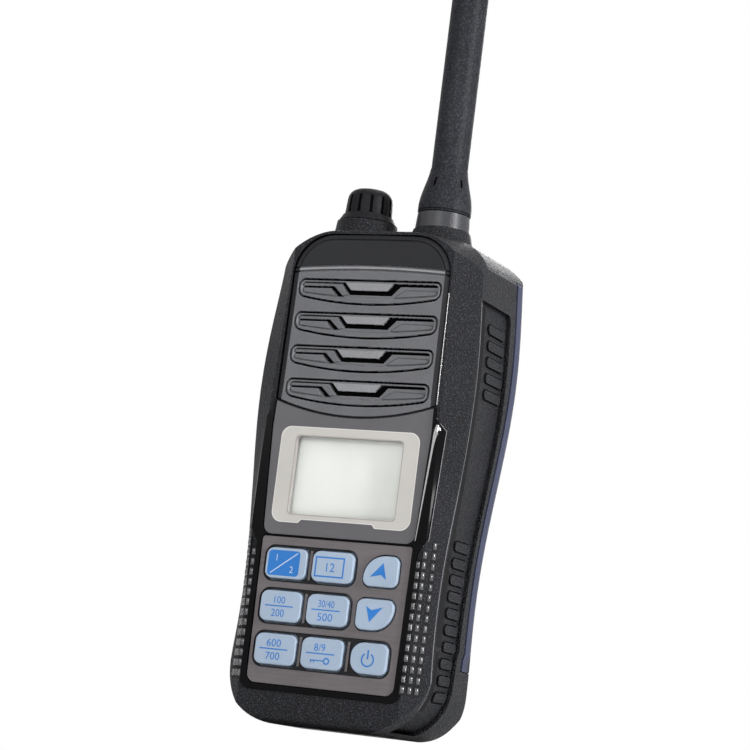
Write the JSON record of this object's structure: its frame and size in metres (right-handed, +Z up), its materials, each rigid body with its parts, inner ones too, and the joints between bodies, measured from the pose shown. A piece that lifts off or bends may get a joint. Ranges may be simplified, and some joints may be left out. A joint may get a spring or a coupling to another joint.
{
  "type": "vhf marine radio",
  "caption": "Handheld marine VHF transceiver: slotted speaker grille, pale display, rubber keypad, volume knob, flexible whip antenna and a clip-on battery pack with belt clip.",
  "frame": {"origin": "centre of the flat foot that the radio stands on", "axes": "+Z up along the antenna, -Y out of the keypad face, +X to the right of someone facing the keypad"},
  "size_m": [0.066, 0.0484, 0.293],
  "materials": {
    "housing_black": "fine grained black ABS/PC",
    "panel_satin": "satin dark grey plastic",
    "trim_gloss": "high gloss black",
    "display_plate": "grey printed polycarbonate",
    "lens_clear": "clear pane",
    "lcd": "pale reflective display",
    "light_guide": "milky light guide",
    "keypad_metal": "brown-grey brushed metal film",
    "key_cap": "pale blue-grey silicone",
    "key_cap_blue": "silicone with a blue print",
    "silicone": "silicone rubber",
    "board": "green circuit board",
    "die_cast": "die cast frame",
    "shield_metal": "tinned steel can",
    "screw_steel": "stainless steel",
    "spring_steel": "bright spring steel",
    "contact_gold": "gold plated contact",
    "connector_brass": "plated brass connector",
    "coil_copper": "copper wire",
    "speaker_paper": "treated cone",
    "magnet": "plated magnet cup",
    "antenna_rubber": "smooth black rubber",
    "knob_rubber": "soft black plastic",
    "tray_blue": "dark blue-grey plastic",
    "cell_wrap": "shrink wrapped cell",
    "clip_plastic": "tough black plastic"
  },
  "bodies": {
    "radio": {"front_shell": "housing_black", "rear_shell": "housing_black", "main_gasket": "silicone", "speaker_panel": "panel_satin", "front_trim": "trim_gloss", "display_plate": "display_plate", "display_lens": "lens_clear", "lcd_glass": "lcd", "backlight": "light_guide", "lcd_frame": "clip_plastic", "keypad_plate": "keypad_metal", "keypad_membrane": "silicone", "keypad_board": "board", "chassis_frame": "die_cast", "main_board": "board", "rf_shield": "shield_metal", "board_screws": "screw_steel", "case_screws": "screw_steel", "speaker_gasket": "silicone", "speaker_basket": "shield_metal", "speaker_cone": "speaker_paper", "speaker_magnet": "magnet", "microphone": "shield_metal", "mic_boot": "silicone", "encoder_body": "clip_plastic", "encoder_nut": "connector_brass", "knob_seal": "silicone", "antenna_jack": "connector_brass", "ptt_seal": "silicone", "ptt_switch": "clip_plastic", "contact_springs": "contact_gold"},
    "knob": {"volume_knob": "knob_rubber", "encoder_shaft": "screw_steel"},
    "seal": {"antenna_seal": "silicone"},
    "antenna": {"antenna_whip": "antenna_rubber", "antenna_boot": "antenna_rubber", "antenna_ring": "panel_satin", "antenna_plug": "connector_brass", "antenna_coil": "coil_copper"},
    "ptt": {"ptt_button": "knob_rubber"},
    "battery": {"battery_tray": "tray_blue", "battery_cover": "housing_black", "battery_cells": "cell_wrap", "battery_contacts": "contact_gold", "clip_mount": "clip_plastic", "clip_pin": "screw_steel", "clip_spring": "spring_steel", "clip_screws": "screw_steel"},
    "latch": {"battery_latch": "clip_plastic"},
    "clip": {"belt_clip": "clip_plastic"},
    "button_recall": {"key_recall": "key_cap_blue"},
    "button_channel": {"key_channel": "key_cap"},
    "button_up": {"key_up": "key_cap"},
    "button_favourite": {"key_favourite": "key_cap"},
    "button_volume": {"key_volume": "key_cap"},
    "button_down": {"key_down": "key_cap"},
    "button_scan": {"key_scan": "key_cap"},
    "button_lock": {"key_lock": "key_cap"},
    "button_power": {"key_power": "key_cap"}
  },
  "joints": [
    {"name": "volume_turn", "type": "hinge", "parent": "radio", "child": "knob", "pos_m": [-0.0115, 0.0018, 0.145], "axis": [0, 0, 1], "continuous": true},
    {"name": "antenna_lift", "type": "slide", "parent": "radio", "child": "seal", "axis": [0, 0, 1], "range_m": [0, 0.00494]},
    {"name": "antenna_turn", "type": "hinge", "parent": "seal", "child": "antenna", "pos_m": [0.0122, 0.0018, 0.145], "axis": [0, 0, 1], "range_deg": [0, 2520]},
    {"name": "ptt_press", "type": "slide", "parent": "radio", "child": "ptt", "axis": [1, 0, 0], "range_m": [0, 0.0012], "stiffness_N_per_m": 2500},
    {"name": "battery_slide", "type": "slide", "parent": "radio", "child": "battery", "axis": [0, 1, 0], "range_m": [0, 0.04]},
    {"name": "latch_slide", "type": "slide", "parent": "battery", "child": "latch", "axis": [0, 0, -1], "range_m": [0, 0.0024]},
    {"name": "clip_swing", "type": "hinge", "parent": "battery", "child": "clip", "pos_m": [0, 0.0299, 0.1115], "axis": [1, 0, 0], "range_deg": [0, 18], "stiffness_Nm_per_rad": 0.6},
    {"name": "press_recall", "type": "slide", "parent": "radio", "child": "button_recall", "axis": [0, 1, 0], "range_m": [0, 0.0006], "stiffness_N_per_m": 2500},
    {"name": "press_channel", "type": "slide", "parent": "radio", "child": "button_channel", "axis": [0, 1, 0], "range_m": [0, 0.0006], "stiffness_N_per_m": 2500},
    {"name": "press_up", "type": "slide", "parent": "radio", "child": "button_up", "axis": [0, 1, 0], "range_m": [0, 0.0006], "stiffness_N_per_m": 2500},
    {"name": "press_favourite", "type": "slide", "parent": "radio", "child": "button_favourite", "axis": [0, 1, 0], "range_m": [0, 0.0006], "stiffness_N_per_m": 2500},
    {"name": "press_volume", "type": "slide", "parent": "radio", "child": "button_volume", "axis": [0, 1, 0], "range_m": [0, 0.0006], "stiffness_N_per_m": 2500},
    {"name": "press_down", "type": "slide", "parent": "radio", "child": "button_down", "axis": [0, 1, 0], "range_m": [0, 0.0006], "stiffness_N_per_m": 2500},
    {"name": "press_scan", "type": "slide", "parent": "radio", "child": "button_scan", "axis": [0, 1, 0], "range_m": [0, 0.0006], "stiffness_N_per_m": 2500},
    {"name": "press_lock", "type": "slide", "parent": "radio", "child": "button_lock", "axis": [0, 1, 0], "range_m": [0, 0.0006], "stiffness_N_per_m": 2500},
    {"name": "press_power", "type": "slide", "parent": "radio", "child": "button_power", "axis": [0, 1, 0], "range_m": [0, 0.0006], "stiffness_N_per_m": 2500}
  ],
  "couplings": [
    {"joint": "antenna_turn", "follows": "antenna_lift", "rad_per_m": 8904.7}
  ]
}
